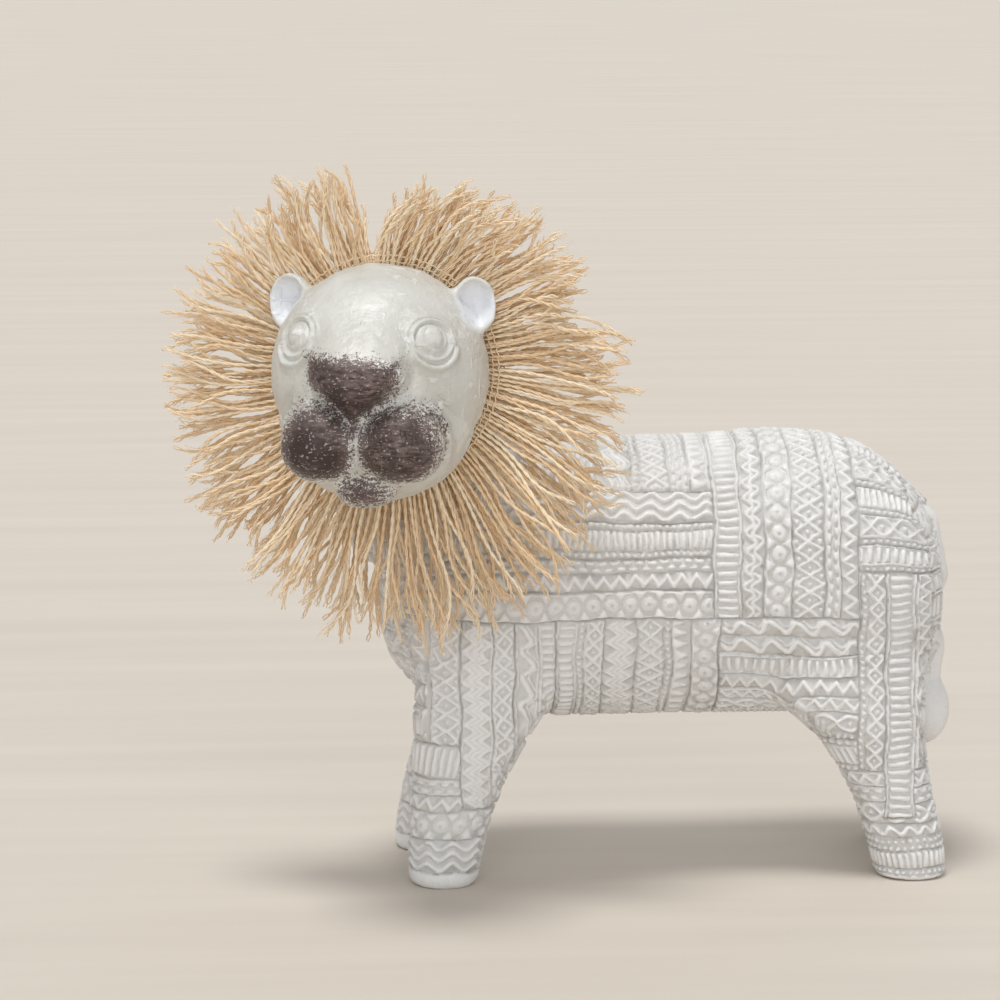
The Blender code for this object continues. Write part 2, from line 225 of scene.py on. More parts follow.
def add_body_blocks(bm):
    add_trunk(bm)
    for leg in LEGS:
        add_leg(bm, *leg)
    neck = [
        in_head(-4, 0, 0), in_head(-16, 0, 0), in_head(-26, 0, -1),
        Vector((-97, -38, 205)), Vector((-88, -18, 181)), Vector(NECK_FOOT),
    ]
    add_tube(bm, neck, NECK_RADII)
    add_tube(bm, [Vector(spot) for spot in TAIL], [TAIL_RADIUS] * len(TAIL))
    axes = (Vector((1, 0, 0)), Vector((0, 1, 0)), UPWARD)
    add_ellipsoid(bm, Vector(TUFT), axes, TUFT_RADII)


def ear_seat(side):
    """The middle of an ear, and the way that it faces."""
    facing = (FACING * 0.92 + SIDEWAYS * side * 0.34 + UPWARD * 0.12).normalized()
    return in_head(-4, side * 36, 26.5), facing


def add_ear(bm, side):
    place, facing = ear_seat(side)
    across = facing.cross(UPWARD).normalized()
    upright = across.cross(facing)
    rings = []
    for depth, share in EAR_PROFILE:
        centre = place + facing * depth
        rings.append(squircle(centre, across * EAR_WIDE * share, upright * EAR_HIGH * share, count=36))
    add_loft(bm, rings)


def add_nose(bm):
    rings = []
    for up, half, front in NOSE:
        across, along = SIDEWAYS * half, FACING * (front - NOSE_ROOT)
        rings.append(squircle(in_head(NOSE_ROOT, 0, up), across, along, NOSE_POWER))
    add_loft(bm, rings)


def add_head_blocks(bm):
    for ball in HEAD_BALLS:
        add_head_ball(bm, *ball)
    add_nose(bm)
    for ball in (*LOBE_BALLS, DIP_BALL):
        add_head_ball(bm, *ball)
    for side in (-1, 1):
        add_ear(bm, side)


# From blocks to one fine skin

def evaluated_copy(obj, name):
    graph = bpy.context.evaluated_depsgraph_get()
    mesh = bpy.data.meshes.new_from_object(obj.evaluated_get(graph))
    bpy.data.objects.remove(obj)
    mesh.name = name
    made = bpy.data.objects.new(name, mesh)
    bpy.context.scene.collection.objects.link(made)
    return made


def skinned(obj, voxel, rounds):
    remesh = obj.modifiers.new("Skin", "REMESH")
    remesh.mode = "VOXEL"
    remesh.voxel_size = voxel * UNIT
    ease = obj.modifiers.new("Ease", "SMOOTH")
    ease.factor = 0.5
    ease.iterations = rounds
    return evaluated_copy(obj, obj.name)


def block_skin(name, add_blocks, voxel, rounds):
    bm = bmesh.new()
    add_blocks(bm)
    return skinned(object_of(name, bm), voxel, rounds)


def fine_skin():
    body = block_skin("body", add_body_blocks, BLOCK_VOXEL, BODY_ROUNDS)
    head = block_skin("head", add_head_blocks, BLOCK_VOXEL / 2, HEAD_ROUNDS)
    joined = bmesh.new()
    for part in (body, head):
        joined.from_mesh(part.data)
        bpy.data.objects.remove(part)
    skin = skinned(object_of("lion", joined), SKIN_VOXEL, SKIN_ROUNDS)
    finer = skin.modifiers.new("Finer", "SUBSURF")
    finer.levels = 1
    finer.render_levels = 1
    return evaluated_copy(skin, "resin_lion_carved")


def coordinates(mesh):
    flat = np.empty(len(mesh.vertices) * 3, dtype=np.float32)
    mesh.vertices.foreach_get("co", flat)
    return flat.reshape(-1, 3).astype(np.float64)


def normals(mesh):
    flat = np.empty(len(mesh.vertices) * 3, dtype=np.float32)
    mesh.vertex_normals.foreach_get("vector", flat)
    return flat.reshape(-1, 3).astype(np.float64)


def set_coordinates(mesh, points):
    mesh.vertices.foreach_set("co", points.astype(np.float32).ravel())
    mesh.update()


# Small shapes of relief. Each gives 0 to 1 from distances in units: u runs along a band, v
# across it from its middle line. Pitches and shares of the width were judged.

def step_up(value, low, high):
    t = np.clip((value - low) / (high - low), 0, 1)
    return t * t * (3 - 2 * t)


def ridge(distance, half):
    """A rounded coil of clay with that half width."""
    return np.sqrt(np.clip(1 - (distance / half) ** 2, 0, 1))


def swing(u, pitch):
    """A triangle wave from -1 to 1."""
    t = np.mod(u / pitch, 1.0)
    return 4 * np.abs(t - 0.5) - 1


def cell(u, pitch):
    """The distance along u from the middle of the nearest cell."""
    return np.mod(u, pitch) - pitch / 2


def spread(width, reach, spacing):
    """Where the lines of a band go across it, when each line sways by reach."""
    count = max(1, int((width - 2 * reach + 1.2) // spacing))
    return [(number - (count - 1) / 2) * spacing for number in range(count)]


def side_by_side(v, sway, slant, offsets, half):
    """Ridges that all sway alike, each at its own offset across the band."""
    height = 0
    for offset in offsets:
        height = np.maximum(height, ridge((v - sway - offset) / slant, half))
    return height


def zigzag(u, v, width, pitch=6.2, half=0.85):
    reach = min(2.3, width * 0.30)
    slant = math.hypot(1, 4 * reach / pitch)
    return side_by_side(v, swing(u, pitch) * reach, slant, spread(width, reach, 2.9), half)


def wave(u, v, width, pitch=7.0, half=0.85):
    reach = min(1.6, width * 0.24)
    turn = 2 * math.pi * u / pitch
    slant = np.hypot(1, np.cos(turn) * reach * 2 * math.pi / pitch)
    return side_by_side(v, np.sin(turn) * reach, slant, spread(width, reach, 2.7), half)


def bold_wave(u, v, width, pitch=11.5):
    """A running wave with a fat crest and a thin line that follows it."""
    reach = min(2.0, width * 0.27)
    turn = 2 * math.pi * u / pitch
    f = (np.sin(turn) + 0.22 * np.sin(2 * turn)) * reach
    slant = np.hypot(1, (np.cos(turn) + 0.44 * np.cos(2 * turn)) * reach * 2 * math.pi / pitch)
    offsets = spread(width, reach, 4.4)
    crest = side_by_side(v, f, slant, offsets, 1.1)
    trail = side_by_side(v, f + 2.4, slant, offsets, 0.55)
    return np.maximum(crest, 0.8 * trail)


def rolling(u, v, width):
    """Wide swells, one above the other."""
    sway = np.sin(2 * math.pi * u / 11.0) * 1.5
    return side_by_side(v, sway, 1 / 0.85, (-4.2, 0, 4.2), 0.95)


def dots(u, v, width, pitch=2.9, radius=1.0):
    return ridge(np.hypot(cell(u, pitch), v), radius)


def ladder(u, v, width, pitch=3.5):
    inside = step_up(width * 0.36 - np.abs(v), 0, 0.4)
    rungs = ridge(cell(u, pitch), 1.05) * inside
    rails = ridge(np.abs(v) - width * 0.45, 0.7)
    return np.maximum(rungs, rails)


def comb(u, v, width, pitch=2.6):
    return ridge(cell(u, pitch), 0.9) * step_up(width * 0.44 - np.abs(v), 0, 0.5)


def diamonds(u, v, width, pitch=7.0):
    """A chain of lozenges, one inside the other, with a dot in each."""
    share = (swing(u, pitch) + 1) / 2
    slant = 1 / math.hypot(1, 2 * 0.42 * width / pitch)
    outer = ridge((np.abs(v) - share * width * 0.42) * slant, 0.8)
    height = np.maximum(outer, ridge(np.hypot(cell(u + pitch / 2, pitch), v), 1.0))
    if width > 8:
        inner = np.hypot(cell(u, pitch), np.abs(v) - width * 0.36)
        height = np.maximum(height, ridge(inner, 1.0))
    return height


def triangles(u, v, width, pitch=5.2):
    """A saw edge: filled teeth with a bead in each gap."""
    edge = (swing(u, pitch) * width * 0.34 - v) * 0.6
    teeth = step_up(edge, -0.25, 0.35) * 0.8 * step_up(width * 0.46 - np.abs(v), 0, 0.5)
    bead = ridge(np.hypot(cell(u + pitch / 2, pitch), v - width * 0.2), 0.8)
    return np.maximum(teeth, bead)


def dashes(u, v, width, pitch=5.0):
    height = 0
    for number, offset in enumerate(spread(width, 0.4, 2.6)):
        long = step_up(pitch * 0.38 - np.abs(cell(u + number * pitch / 2, pitch)), 0, 0.4)
        height = np.maximum(height, ridge(v - offset, 0.8) * long)
    return height


def rings(u, v, width, pitch=7.8):
    """Flat round plates with a ringed hole in each, and a pair of teeth between them."""
    far = np.hypot(cell(u, pitch), v)
    plate = 0.6 * step_up(min(3.1, width * 0.34) - far, -0.2, 0.35)
    height = np.maximum(plate, ridge(far - 1.25, 0.6)) - 0.5 * ridge(far, 0.6)
    between = np.abs(cell(u + pitch / 2, pitch))
    tooth = step_up((np.abs(v) - width * 0.12) * 0.62 - between, -0.2, 0.3)
    return np.maximum(height, 0.9 * tooth * step_up(width * 0.47 - np.abs(v), 0, 0.4))


def lenses(u, v, width, pitch=10.0):
    """Two waves that cross and part, with a bead in each eye."""
    bow = np.abs(np.sin(math.pi * u / pitch)) * width * 0.36
    height = ridge((np.abs(v) - bow) * 0.8, 0.8)
    return np.maximum(height, ridge(np.hypot(cell(u, pitch), v), 1.2))


def plain(u, v, width):
    return np.full_like(u, 0.8)


# The patchwork of one flank: x from and to, height from and to, which way the bands run,
# and the bands with their shares of the width, from the low or front edge
PANELS = (
    (-104, -16, 164, 240, "up", (
        (14, bold_wave), (10, diamonds), (3, dots), (13, wave), (9, ladder),
        (12, zigzag), (10, rings), (9, triangles), (8, dashes))),
    (-16, 30.5, 164, 240, "up", (
        (13, bold_wave), (3, dots), (11, diamonds), (8, dashes), (8, triangles))),
    (-104, 30.5, 150.5, 164, "along", ((13.5, rolling),)),
    (-104, 30.5, 136, 150.5, "along", ((3, dots), (8.5, comb), (3, dots))),
    (-104, 30.5, 122.5, 136, "along", ((7.5, zigzag), (6, dashes))),
    (-104, 30.5, 110.5, 122.5, "along", ((12, rings),)),
    (30.5, 42, 110.5, 240, "up", ((11.5, ladder),)),
    (42, 51, 110.5, 240, "up", ((9, wave),)),
    (51, 62.5, 110.5, 240, "up", ((11.5, rings),)),
    (62.5, 75.5, 110.5, 240, "up", ((13, diamonds),)),
    (75.5, 89.5, 110.5, 240, "up", ((6.5, dashes), (7.5, zigzag))),
    (89.5, 132, 166, 240, "along", (
        (3, dots), (7, wave), (8, zigzag), (3, dots), (9, comb), (9, lenses),
        (8, wave), (3, dots), (9, comb), (8, zigzag), (7, wave))),
    (89.5, 132, 153, 166, "along", ((3, dots), (9.5, comb))),
    (89.5, 132, 140, 153, "along", ((2.5, dots), (11, lenses))),
    (89.5, 132, 129, 140, "along", ((2.5, dots), (8.5, ladder))),
    (90, 101, 20, 129, "up", ((3, dots), (8, diamonds))),
    (101, 114, 20, 129, "up", ((13, ladder),)),
    (114, 132, 20, 129, "up", ((7, zigzag), (7, wave), (3, dots))),
    (33.5, 90, 95, 110.5, "along", ((8, bold_wave), (7.5, bold_wave))),
    (33.5, 90, 85.5, 95, "along", ((9.5, ladder),)),
    (33.5, 90, 60, 85.5, "along", ((2.8, dots), (8.5, lenses), (6.5, zigzag), (8, zigzag))),
    (33.5, 90, 20, 60, "along", ((10, wave), (3, dots), (9, comb), (9, zigzag), (9, comb))),
    (-33, 33.5, 10, 110.5, "up", (
        (8, ladder), (3, dots), (7.5, diamonds), (13, zigzag), (11, diamonds),
        (3, dots), (8, triangles), (11, rings))),
    (-50, -33, 10, 110.5, "up", ((10, bold_wave), (7, ladder))),
    (-72, -50, 10, 110.5, "up", ((13, zigzag), (9, diamonds))),
    (-104, -72, 10, 110.5, "up", ((10, zigzag), (3, dots), (7, wave), (12, diamonds))),
)
# The bands round a leg, from the ground up
HIND_BANDS = (
    (2, plain), (2.8, dots), (8.2, comb), (2.6, dots), (3.4, dots), (6, wave), (8.5, lenses),
    (6.5, dashes), (6.5, zigzag), (3, dots), (8.5, comb), (2.8, dots),
)
FORE_BANDS = (
    (6.5, plain), (13.7, rolling), (12.3, rings), (7, zigzag), (6.5, dashes), (14, comb),
)
LEG_TOP = 60
# A leg's mean radius, which turns an angle round it into a distance
LEG_ROUND = 15.2
# Columns of the flank that run on down the outside of a leg: x from and to, and how low
RUNS_DOWN = ((-72, -50, 33), (-50, -30, 33), (90, 101, 46), (101, 114, 27), (114, 121, 46))
# The bands down the rump, the chest and the neck, and their width together
END_BANDS = (
    (9, comb), (3, dots), (8, zigzag), (8, wave), (9, lenses), (3, dots), (11, ladder),
    (8, triangles), (9, bold_wave), (3, dots), (9, comb), (8, zigzag), (10, rings), (9, wave),
)
END_WIDTH = 118
# What the chance slides and steps of the bands are seeded with
FLANK_SEED, LEG_SEED, END_SEED = 5, 11, 3
# Between these heights the flank is upright
FLANK_LOW, FLANK_HIGH = 95, 150


def section_arc():
    """Angle round the trunk's section, and the length along its outline from the belly."""
    angle = np.linspace(-math.pi / 2, math.pi / 2, 721)
    share = 2 / SECTION_POWER
    y = SECTION_WIDE * np.cos(angle).clip(0) ** share
    z = SECTION_HALF * np.sign(np.sin(angle)) * np.abs(np.sin(angle)) ** share
    length = np.concatenate(([0], np.cumsum(np.hypot(np.diff(y), np.diff(z)))))
    return angle, length, z + SECTION_MIDDLE


ARC_ANGLE, ARC_LENGTH, ARC_HEIGHT = section_arc()
ARC_LOW = float(np.interp(FLANK_LOW, ARC_HEIGHT, ARC_LENGTH))
ARC_HIGH = float(np.interp(FLANK_HIGH, ARC_HEIGHT, ARC_LENGTH))


def level_of(points):
    """Height up the flank, measured on over the back and in under the belly as a tape would."""
    root = SECTION_POWER / 2
    dz = (points[:, 2] - SECTION_MIDDLE) / SECTION_HALF
    dy = np.abs(points[:, 1]) / SECTION_WIDE
    angle = np.arctan2(np.sign(dz) * np.abs(dz) ** root, dy ** root + 1e-6)
    arc = np.interp(angle, ARC_ANGLE, ARC_LENGTH)
    level = np.interp(arc, ARC_LENGTH, ARC_HEIGHT)
    level = np.where(arc < ARC_LOW, FLANK_LOW - (ARC_LOW - arc), level)
    level = np.where(arc > ARC_HIGH, FLANK_HIGH + (arc - ARC_HIGH), level)
    outside = step_up(np.abs(points[:, 1]), 38, 43) * (points[:, 2] < FLANK_LOW)
    return level + (points[:, 2] - level) * outside


# The three layers of carving at each point: the raised lines and the grooves between bands,
# both from 0 to 1, and how high the band itself stands
LINES, GROOVE, SHELF = range(3)


def banded(u, v, bands, width, chance):
    """The carving of parallel bands: u runs along them and v across, from 0 to width."""
    total = sum(band[0] for band in bands)
    carved = np.zeros((3, len(u)))
    edge = 0.0
    for share, motif in bands:
        wide = width * share / total
        slide = chance.uniform(0, 10)
        shelf = chance.uniform(-0.15, 0.35)
        railed = chance.random() < 0.5
        inside = (v >= edge) & (v < edge + wide)
        middle = v[inside] - edge - wide / 2
        near_edge = wide / 2 - np.abs(middle)
        height = motif(u[inside] + slide, middle, wide)
        if railed and wide > 4.5:
            height = np.maximum(height, 0.7 * ridge(near_edge - 0.75, 0.6))
        carved[LINES, inside] = height
        if wide > 3.5:
            carved[GROOVE, inside] = 1 - step_up(near_edge, 0.0, 0.55)
            carved[SHELF, inside] = shelf
        edge += wide
    return carved


def wander(points):
    """A slow drift that keeps the bands from looking ruled."""
    x, y, z = points.T
    du = 0.45 * np.sin(0.11 * x + 0.17 * z + 0.6) + 0.25 * np.sin(0.31 * z - 0.23 * x + 0.2 * y)
    dv = 0.45 * np.sin(0.13 * z - 0.09 * x + 1.9) + 0.25 * np.sin(0.29 * x + 0.19 * z + 0.15 * y)
    du += 0.22 * np.sin(0.83 * z + 0.57 * x) * np.sin(0.71 * x - 0.39 * z)
    dv += 0.22 * np.sin(0.77 * x - 0.61 * z) * np.sin(0.67 * z + 0.43 * x + 1.0)
    return du, dv


def leg_relief(points, side_of_body):
    """Bands round the legs below the trunk."""
    x, y, z = points.T
    carved = np.zeros((3, len(points)))
    for sections, side, foot_step, knee_step in LEGS:
        table = np.array(sections)
        middle = np.interp(z, table[:, 0], (table[:, 1] + table[:, 2]) / 2)
        middle += foot_step + (knee_step - foot_step) * np.clip(z / KNEE, 0, 1)
        fore = sections is FRONT_LEG
        here = (side_of_body == side) & ((x < 0) == fore)
        out = side * y - FOOT_SPACING / 2
        around = np.arctan2(x - middle, out) * LEG_ROUND
        bands = FORE_BANDS if fore else HIND_BANDS
        chance = np.random.default_rng(LEG_SEED)
        carved[:, here] = banded(around[here], z[here], bands, LEG_TOP, chance)
    return carved


def flank_relief(points):
    """The patchwork on the trunk, with a deep groove round each panel."""
    x = points[:, 0]
    level = level_of(points)
    carved = np.zeros((3, len(points)))
    chance = np.random.default_rng(FLANK_SEED)
    for x0, x1, z0, z1, way, bands in PANELS:
        here = (x >= x0) & (x < x1) & (level >= z0) & (level < z1)
        if way == "up":
            part = banded(level[here], x[here] - x0, bands, x1 - x0, chance)
        else:
            part = banded(x[here], level[here] - z0, bands, z1 - z0, chance)
        gap = np.minimum.reduce((x[here] - x0, x1 - x[here], level[here] - z0, z1 - level[here]))
        part[GROOVE] = np.maximum(part[GROOVE], 1.5 * (1 - step_up(gap, 0.1, 0.75)))
        part[LINES] *= step_up(gap, 0.1, 0.9)
        part[SHELF] += chance.uniform(-0.1, 0.45)
        carved[:, here] = part
    return carved


def end_relief(across, along):
    """Rows across the rump, the chest and the neck, where the flank's own bands would stretch."""
    return banded(across, along, END_BANDS, END_WIDTH, np.random.default_rng(END_SEED))


def in_head_axes(points):
    away = points - HEAD_AT
    return away @ AHEAD, away @ ACROSS, away[:, 2]


# How far from its middle the head reaches at most, and the radii of the space round the tuft
HEAD_ZONE = 80
TUFT_ZONE = (14, 18)
# How far round the neck one radian goes
NECK_ROUND = 40


def is_head(points):
    """True on the smooth glazed head, in front of the mane's channel."""
    f, r, u = in_head_axes(points)
    return (-f < SEAT_BEHIND + CHANNEL_DEPTH + 1) & (np.sqrt(f * f + r * r + u * u) < HEAD_ZONE)


def is_tail(points):
    """True on the smooth tail and its tuft."""
    spots = np.array(TAIL)
    x, y, z = points.T
    middle = np.interp(z, spots[::-1, 2], spots[::-1, 0])
    cord = (x > middle - 1) & (np.abs(y) < TAIL_RADIUS + 0.3) & (z < 150)
    tuft = np.hypot(np.hypot(x - TUFT[0], y) / TUFT_ZONE[0], (z - TUFT[2]) / TUFT_ZONE[1]) < 1
    return cord | tuft


def body_share(points):
    """1 on the carved body, 0 on the smooth head and tail."""
    return np.where(is_head(points) | is_tail(points), 0.0, 1.0)


def along_neck(points):
    """Distance down the neck from the head, and the distance round it."""
    foot = Vector(NECK_FOOT)
    axis = (foot - HEAD_CENTRE).normalized()
    level = axis.cross(UPWARD).normalized()
    away = points - HEAD_AT
    turn = np.arctan2(away @ np.array(level), away @ np.array(axis.cross(level)))
    return away @ np.array(axis), turn * NECK_ROUND


def is_neck(points):
    """True where the neck stands out of the trunk."""
    above = (points[:, 0] < -20) & (points[:, 2] > 120)
    wide = (np.abs(points[:, 1]) / (SECTION_WIDE + 3)) ** SECTION_POWER
    high = (np.abs(points[:, 2] - SECTION_MIDDLE) / (SECTION_HALF + 2.5)) ** SECTION_POWER
    return above & ((wide + high > 1.05) | (points[:, 0] < -101))


# How far a surface faces along the body where it belongs to the rump or the chest
STEEP = 0.74


def relief(points, directions):
    """The three layers of carving at each point."""
    du, dv = wander(points)
    moved = points + np.stack((du, np.zeros_like(du), dv), axis=1)
    side = np.where(points[:, 1] < 0, -1, 1)
    carved = flank_relief(moved)
    top = np.full(len(points), float(LEG_TOP))
    outer = directions[:, 1] * side > 0.45
    for x0, x1, height in RUNS_DOWN:
        top[outer & (moved[:, 0] >= x0) & (moved[:, 0] < x1)] = height
    low = moved[:, 2] < top
    carved[:, low] = leg_relief(moved[low], side[low])
    edge = np.abs(moved[:, 2] - top)
    seam = 1.3 * (1 - step_up(edge, 0.1, 0.7)) * (points[:, 2] < LEG_TOP + 2)
    carved[GROOVE] = np.maximum(carved[GROOVE], seam)

    neck = is_neck(points)
    ends = (np.abs(directions[:, 0]) > STEEP) & ~low & ~neck
    down, around = along_neck(moved)
    carved[:, neck] = end_relief(around[neck], down[neck])
    carved[:, ends] = end_relief(moved[ends, 1], moved[ends, 2] - (LEG_TOP + 2))
    return carved * body_share(points)


# The ovals of an eye: middle outward and up from the eye's axis, half width and half height
EYE_BALL = (0.3, 2.1, 6.9, 5.8)
UPPER_LID = (1.0, 1.5, 8.8, 7.8)
LOWER_LID = (0.6, 0.9, 8.4, 7.0)
EYE_BAG = (0.9, -0.4, 10.0, 9.0)


def oval(out, up, shape):
    """1 on the outline of that oval, less inside it."""
    middle_out, middle_up, half_wide, half_high = shape
    return np.hypot((out - middle_out) / half_wide, (up - middle_up) / half_high)


def eye_axes(side):
    """The way an eye faces, outward across it, and up across it."""
    outward = Vector((28.5, side * 25.7, 15)).normalized()
    facing = FACING * outward.x + SIDEWAYS * outward.y + UPWARD * outward.z
    level = facing.cross(UPWARD).normalized()
    if level.dot(SIDEWAYS) * side < 0:
        level = -level
    upright = UPWARD - facing * facing.z
    upright.normalize()
    return facing, level, upright


def one_eye(o, v):
    """Ball, iris, lids, bag and outer corner of an eye, o outward and v up from its axis."""
    ball = oval(o, v, EYE_BALL)
    upper = oval(o, v, UPPER_LID)
    lower = oval(o, v, LOWER_LID)
    bag = oval(o, v, EYE_BAG)
    iris = np.hypot(o - 1.2, v - 2.5)
    height = 1.75 * np.sqrt(np.clip(1 - ball ** 2, 0, 1))
    height += 0.2 * step_up(3.8 - iris, -0.4, 0.4) - 0.55 * ridge(iris - 4.1, 0.6) * (ball < 1)
    height -= 0.7 * ridge((ball - 1.1) * 6.3, 0.8)
    lids = 1.5 * ridge((upper - 1.02) * 8.3, 0.95) * step_up(v, -3.0, 0.5)
    lids = np.maximum(lids, 1.1 * ridge((lower - 1.0) * 7.5, 0.7) * step_up(-v, -1.0, 1.0))
    lids = np.maximum(lids, 1.7 * ridge((bag - 1.0) * 9.2, 1.25) * step_up(-v, -0.5, 3.0))
    along = (o - 10.4) * 0.7 - (v + 0.6) * 0.7
    across = (o - 10.4) * 0.7 + (v + 0.6) * 0.7
    corner = np.hypot(np.clip(along, -2.2, 2.2) - along, across)
    lids = np.maximum(lids, 0.9 * ridge(corner, 0.9))
    return np.maximum(height, lids) + 0.55 * ridge((upper - 1.27) * 8, 0.7) * step_up(v, 1, 4)


def eye_relief(points):
    """Both eyes, as a height in units."""
    away = points - HEAD_AT
    height = np.zeros(len(points))
    for side in (-1, 1):
        facing, level, upright = eye_axes(side)
        o = away @ np.array(level)
        v = away @ np.array(upright)
        near = (away @ np.array(facing) > 30) & (np.hypot(o, v) < 18)
        height += np.where(near, one_eye(o, v), 0)
    return height


def face_relief(points):
    """The groove under the nose, its wings, the cheek folds, an uneven skin, and the eyes."""
    f, r, u = in_head_axes(points)
    middle = r - (LOBES[0] + LOBES[1]) / 2
    height = -2.0 * ridge(middle, 1.5) * step_up(-u, 10, 14) * step_up(u + 40, 0, 5) * (f > 34)
    wing = np.hypot(np.abs(r) - 15.0, (u - 3) * 0.8)
    height -= 0.9 * ridge(wing - 5.4, 0.9) * (np.abs(r) > 15.0) * (f > 36)
    crease = np.abs(r) - np.interp(-u, CREASE[0], CREASE[1])
    along = step_up(-u, -1, 5) * step_up(u + 38, 0, 10) * (f > 4) * step_up(-f, -33, -29)
    height += along * (0.9 * ridge(crease + 3.8, 3.4) - 1.6 * ridge(crease, 2.4))
    bare = is_head(points) * (f > -15)
    uneven = np.sin(0.33 * r + 0.21 * u + 0.9) * np.sin(0.27 * u - 0.19 * f + 2.0)
    uneven += 0.6 * np.sin(0.61 * r - 0.47 * u + 0.3 * f) * np.sin(0.53 * u + 0.37 * r)
    return height + 0.22 * uneven * bare + eye_relief(points)


def paint_depth(points):
    """How far inside the bronze paint a point lies, in units; below 0 outside it.

    The paint covers the nose, the two lobes and the chin. It leaves the groove between the lobes
    bare, joins the nose to it by a thin stalk, and is worn on the left wing of the nose and the chin.
    """
    f, r, u = in_head_axes(points)
    pad = np.abs(r + 0.9)
    depth = np.minimum.reduce((19.3 - pad, (12.0 - u) * 0.8, (3.2 + (u + 12) * 1.30 - pad) / 1.64))
    for across, wide in zip(LOBES, (14.6, 15.4)):
        above = np.where(u > -21, 0.62, 1.0)
        reach = 1 - (np.abs((r - across) / wide) ** 2.5 + np.abs((u + 21.3) / 14.4) ** 2.5) ** 0.4
        depth = np.maximum(depth, reach * 13 * above)
    chin = (1 - np.hypot((r - 2) / 13.5, (u + 41) / 8.5)) * 5 - 0.5
    depth = np.maximum(depth, chin)
    groove = np.abs(r - (LOBES[0] + LOBES[1]) / 2) - 0.7
    depth = np.where((u < -15) & (u > -34), np.minimum(depth, groove * 3.0), depth)
    stalk = (1.6 - np.abs(r + 0.2)) * 1.5
    depth = np.where((u < -9) & (u > -17), np.maximum(depth, stalk), depth)
    worn = step_up(r, 5, 14) * step_up(u, -4, 3) * 1.7
    worn += step_up(-u, 34.5, 37.5) * 0.9
    return np.where(f > 26, depth - worn, -10).clip(-6, 6)


def ear_hollow(points):
    """1 in the bluish hollow of an ear."""
    shade = np.zeros(len(points))
    for side in (-1, 1):
        place, facing = ear_seat(side)
        away = points - np.array(place)
        along = away @ np.array(facing)
        across = np.linalg.norm(away - along[:, None] * np.array(facing), axis=1)
        shade = np.maximum(shade, step_up(9.3 - across, 0, 1.5) * (along > -4))
    return shade


def cut_channel(points):
    """Sinks the seat of the mane behind the head."""
    f, r, u = in_head_axes(points)
    far = np.hypot(r, u)
    behind = -f
    inside = (behind > SEAT_BEHIND) & (behind < SEAT_BEHIND + CHANNEL_DEPTH) & (far < 60) & (far > 1)
    shrink = np.where(inside & (far > NECK_RADIUS), NECK_RADIUS / np.maximum(far, 1), 1.0)
    offset = (r * shrink - r)[:, None] * ACROSS
    offset += (u * shrink - u)[:, None] * UP
    return points + offset


def rounded_soles(points):
    """Draws the feet in a little at the ground and cuts them flat there."""
    low = points[:, 2] < SOLE_ROUND
    for sections, side, foot_step, _ in LEGS:
        fore = sections is FRONT_LEG
        here = low & (points[:, 1] * side > 0) & ((points[:, 0] < 0) == fore)
        middle = np.array(((sections[1][1] + sections[1][2]) / 2 + foot_step, side * FOOT_SPACING / 2))
        out = points[here, :2] - middle
        far = np.linalg.norm(out, axis=1, keepdims=True) + 1e-6
        pull = SOLE_ROUND * 0.5 * (1 - points[here, 2].clip(0) / SOLE_ROUND)[:, None] ** 2
        points[here, :2] = middle + out * (1 - np.minimum(pull / far, 0.5))
    points[:, 2] = np.maximum(points[:, 2], 0)
    return points


def store(mesh, name, values):
    attribute = mesh.attributes.new(name, "FLOAT", "POINT")
    attribute.data.foreach_set("value", values.astype(np.float32))


def is_hidden(points, directions):
    """True on the far side and inside the legs, which are carved more plainly."""
    inside_legs = (points[:, 2] < 100) & (points[:, 1] > -28) & (directions[:, 1] > -0.3)
    return (points[:, 1] > 8) | inside_legs


def make_lion():
    """The carved casting, with its grey wash and painted shade in the recesses, paint and ear hollows
    stored on its points.
    """
    skin = fine_skin()
    points = coordinates(skin.data) / UNIT
    directions = normals(skin.data)
    carved = relief(points, directions)
    share = body_share(points)
    lift = RELIEF * carved[LINES] - GROOVE_DEPTH * carved[GROOVE] + carved[SHELF] - SUNK * share
    lift *= np.where(is_hidden(points, directions), PLAIN_SIDE, 1.0)
    points = points + directions * (lift + face_relief(points))[:, None]
    points = cut_channel(points)
    points = rounded_soles(points)
    set_coordinates(skin.data, points * UNIT)
    fewer = skin.modifiers.new("Fewer", "DECIMATE")
    fewer.use_collapse_triangulate = True
    fewer.ratio = SKIN_TRIANGLES / (2 * len(skin.data.polygons))
    lion = evaluated_copy(skin, "resin_lion_carved")

    points = coordinates(lion.data) / UNIT
    carved = relief(points, normals(lion.data))
    share = body_share(points)
    # Grey wash that is also painted shade: darker on the ground between the raised lines and in the
    # grooves, where shadow falls
    wash_and_shade = share * (0.5 * np.clip(1 - carved[LINES] * 1.2, 0, 1) + 0.6 * carved[GROOVE])
    store(lion.data, "wash_and_shade", wash_and_shade.clip(0, 1))
    store(lion.data, "paint", paint_depth(points))
    store(lion.data, "hollow", ear_hollow(points))
    lion.data.transform(Matrix.Translation(MIDDLE))
    lion.data.shade_smooth()
    return lion


# Materials

def new_material(name, roughness, colour=(0.8, 0.8, 0.8, 1)):
    made = bpy.data.materials.new(name)
    made.use_nodes = True
    shader = made.node_tree.nodes["Principled BSDF"]
    shader.inputs["Base Color"].default_value = colour
    shader.inputs["Roughness"].default_value = roughness
    return made, made.node_tree, shader


def node(tree, kind, **settings):
    made = tree.nodes.new(kind)
    for key, value in settings.items():
        setattr(made, key, value)
    return made


